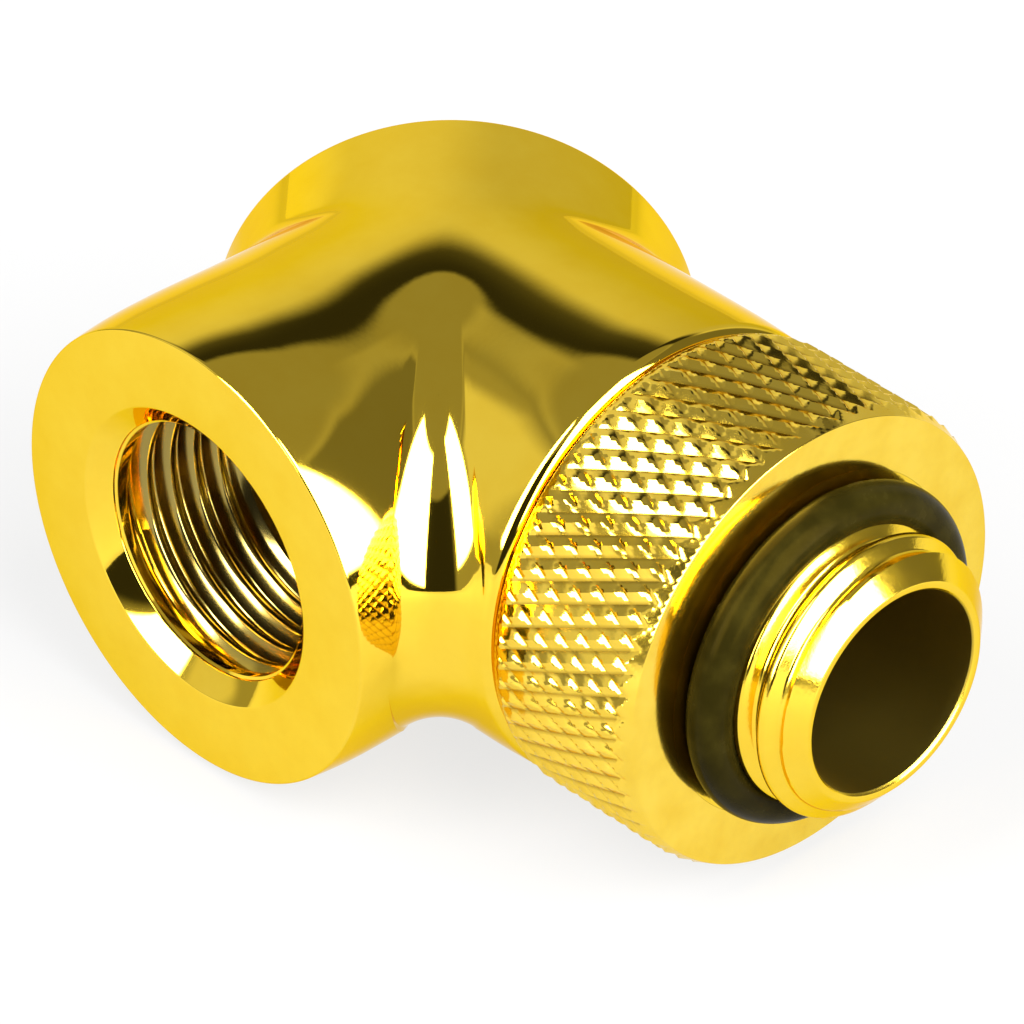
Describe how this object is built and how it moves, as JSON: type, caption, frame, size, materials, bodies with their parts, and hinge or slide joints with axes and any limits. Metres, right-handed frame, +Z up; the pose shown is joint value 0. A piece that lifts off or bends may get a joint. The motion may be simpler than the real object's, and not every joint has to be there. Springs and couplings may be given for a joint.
{
  "type": "rotary three-way pipe fitting",
  "caption": "Polished three-way pipe fitting: female threaded ports on the front and rear arms, and a swivelling male thread with a knurled collar and face seal.",
  "frame": {"origin": "centre of the sealing face on the male thread's axis, where the fitting seats on what it screws into", "axes": "+X leaves along the male thread, the front port opens towards -Y, the arms lie in the XY plane and +Z is up"},
  "size_m": [0.0395, 0.0273, 0.0212],
  "materials": {
    "polished_plating": "mirror-polished gold plating on brass",
    "thread_plating": "gold plating on turned brass, slightly grainy",
    "collar_plating": "gold plating over a diamond knurl, polished end faces",
    "seal_rubber": "smooth black nitrile rubber",
    "spring_steel": "plain spring steel",
    "slip_plastic": "natural PTFE"
  },
  "bodies": {
    "fitting_body": {"body": "polished_plating", "thrust_washer": "slip_plastic"},
    "swivel": {"threaded_stem": "thread_plating", "knurled_collar": "collar_plating", "face_o_ring": "seal_rubber", "front_swivel_seal": "seal_rubber", "rear_swivel_seal": "seal_rubber", "retaining_ring": "spring_steel"}
  },
  "joints": [
    {"name": "swivel_turn", "type": "hinge", "parent": "fitting_body", "child": "swivel", "pos_m": [0, 0, 0], "axis": [1, 0, 0], "continuous": true}
  ]
}
